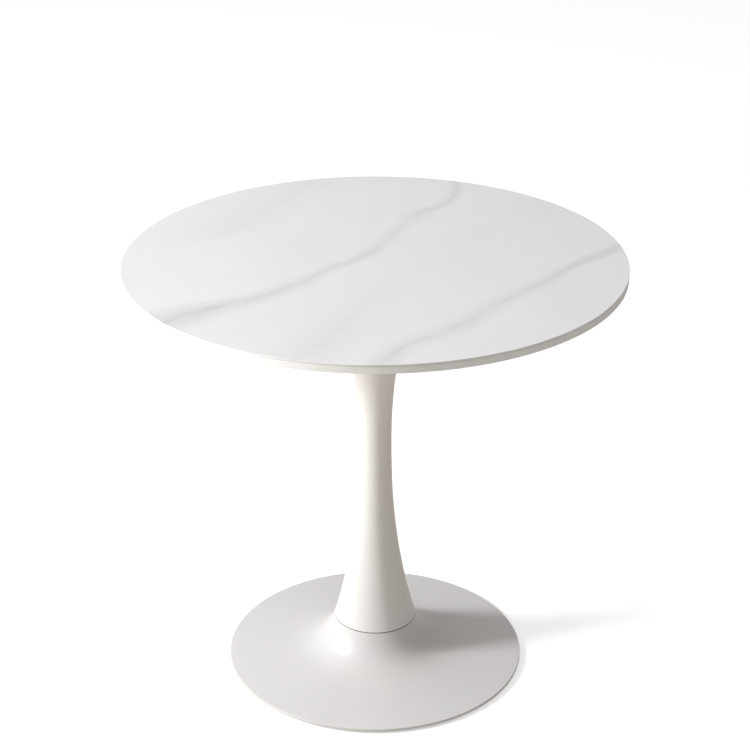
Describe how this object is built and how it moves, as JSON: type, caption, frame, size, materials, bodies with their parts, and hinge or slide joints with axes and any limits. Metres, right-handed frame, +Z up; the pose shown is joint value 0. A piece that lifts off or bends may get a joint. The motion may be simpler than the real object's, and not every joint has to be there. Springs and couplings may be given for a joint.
{
  "type": "round pedestal table",
  "caption": "Round dining table: a thin stone-faced top on one trumpet-shaped column that flares into a wide, weighted disc base.",
  "frame": {"origin": "on the floor, on the table's vertical axis", "axes": "+Z up along the column; the table is round about it, so +X and +Y are level and only the screws and glides fix them"},
  "size_m": [0.8, 0.8, 0.725],
  "materials": {
    "stone_top": "satin, white with soft grey veins",
    "board": "raw fibreboard",
    "edging": "satin laminate",
    "white_coating": "satin white powder coating",
    "zinc_steel": "bright zinc plating",
    "brass": "machined",
    "iron": "as cast, black primer",
    "rubber": "matt",
    "nylon": "moulded"
  },
  "bodies": {
    "table": {"top_slab": "stone_top", "core_board": "board", "edge_band": "edging", "backing_sheet": "edging", "top_plate": "white_coating", "plate_collar": "white_coating", "rod_weld_nut": "zinc_steel", "plate_screw_1": "zinc_steel", "plate_screw_2": "zinc_steel", "plate_screw_3": "zinc_steel", "plate_screw_4": "zinc_steel", "plate_screw_5": "zinc_steel", "plate_screw_6": "zinc_steel", "thread_insert_1": "brass", "thread_insert_2": "brass", "thread_insert_3": "brass", "thread_insert_4": "brass", "thread_insert_5": "brass", "thread_insert_6": "brass", "head_gasket": "rubber", "column_shell": "white_coating", "column_head_disc": "zinc_steel", "column_foot_disc": "zinc_steel", "neck_gasket": "rubber", "tie_rod": "zinc_steel", "base_shell": "white_coating", "base_weight": "iron", "floor_ring": "rubber", "clamp_washer": "zinc_steel", "clamp_spring_washer": "zinc_steel", "clamp_nut": "zinc_steel", "glide_nut_1": "zinc_steel", "glide_nut_2": "zinc_steel", "glide_nut_3": "zinc_steel", "glide_nut_4": "zinc_steel"},
    "pad_1": {"glide_pad_1": "nylon"},
    "stud_1": {"glide_stud_1": "zinc_steel"},
    "pad_2": {"glide_pad_2": "nylon"},
    "stud_2": {"glide_stud_2": "zinc_steel"},
    "pad_3": {"glide_pad_3": "nylon"},
    "stud_3": {"glide_stud_3": "zinc_steel"},
    "pad_4": {"glide_pad_4": "nylon"},
    "stud_4": {"glide_stud_4": "zinc_steel"}
  },
  "joints": [
    {"name": "glide_1_travel", "type": "slide", "parent": "table", "child": "pad_1", "axis": [0, 0, -1], "range_m": [0, 0.004]},
    {"name": "glide_1_turn", "type": "hinge", "parent": "pad_1", "child": "stud_1", "pos_m": [0.13435, 0.13435, 0.002], "axis": [0, 0, -1], "range_deg": [0, 1152]},
    {"name": "glide_2_travel", "type": "slide", "parent": "table", "child": "pad_2", "axis": [0, 0, -1], "range_m": [0, 0.004]},
    {"name": "glide_2_turn", "type": "hinge", "parent": "pad_2", "child": "stud_2", "pos_m": [-0.13435, 0.13435, 0.002], "axis": [0, 0, -1], "range_deg": [0, 1152]},
    {"name": "glide_3_travel", "type": "slide", "parent": "table", "child": "pad_3", "axis": [0, 0, -1], "range_m": [0, 0.004]},
    {"name": "glide_3_turn", "type": "hinge", "parent": "pad_3", "child": "stud_3", "pos_m": [-0.13435, -0.13435, 0.002], "axis": [0, 0, -1], "range_deg": [0, 1152]},
    {"name": "glide_4_travel", "type": "slide", "parent": "table", "child": "pad_4", "axis": [0, 0, -1], "range_m": [0, 0.004]},
    {"name": "glide_4_turn", "type": "hinge", "parent": "pad_4", "child": "stud_4", "pos_m": [0.13435, -0.13435, 0.002], "axis": [0, 0, -1], "range_deg": [0, 1152]}
  ],
  "couplings": [
    {"joint": "glide_1_turn", "follows": "glide_1_travel", "rad_per_m": 5026.5},
    {"joint": "glide_2_turn", "follows": "glide_2_travel", "rad_per_m": 5026.5},
    {"joint": "glide_3_turn", "follows": "glide_3_travel", "rad_per_m": 5026.5},
    {"joint": "glide_4_turn", "follows": "glide_4_travel", "rad_per_m": 5026.5}
  ]
}
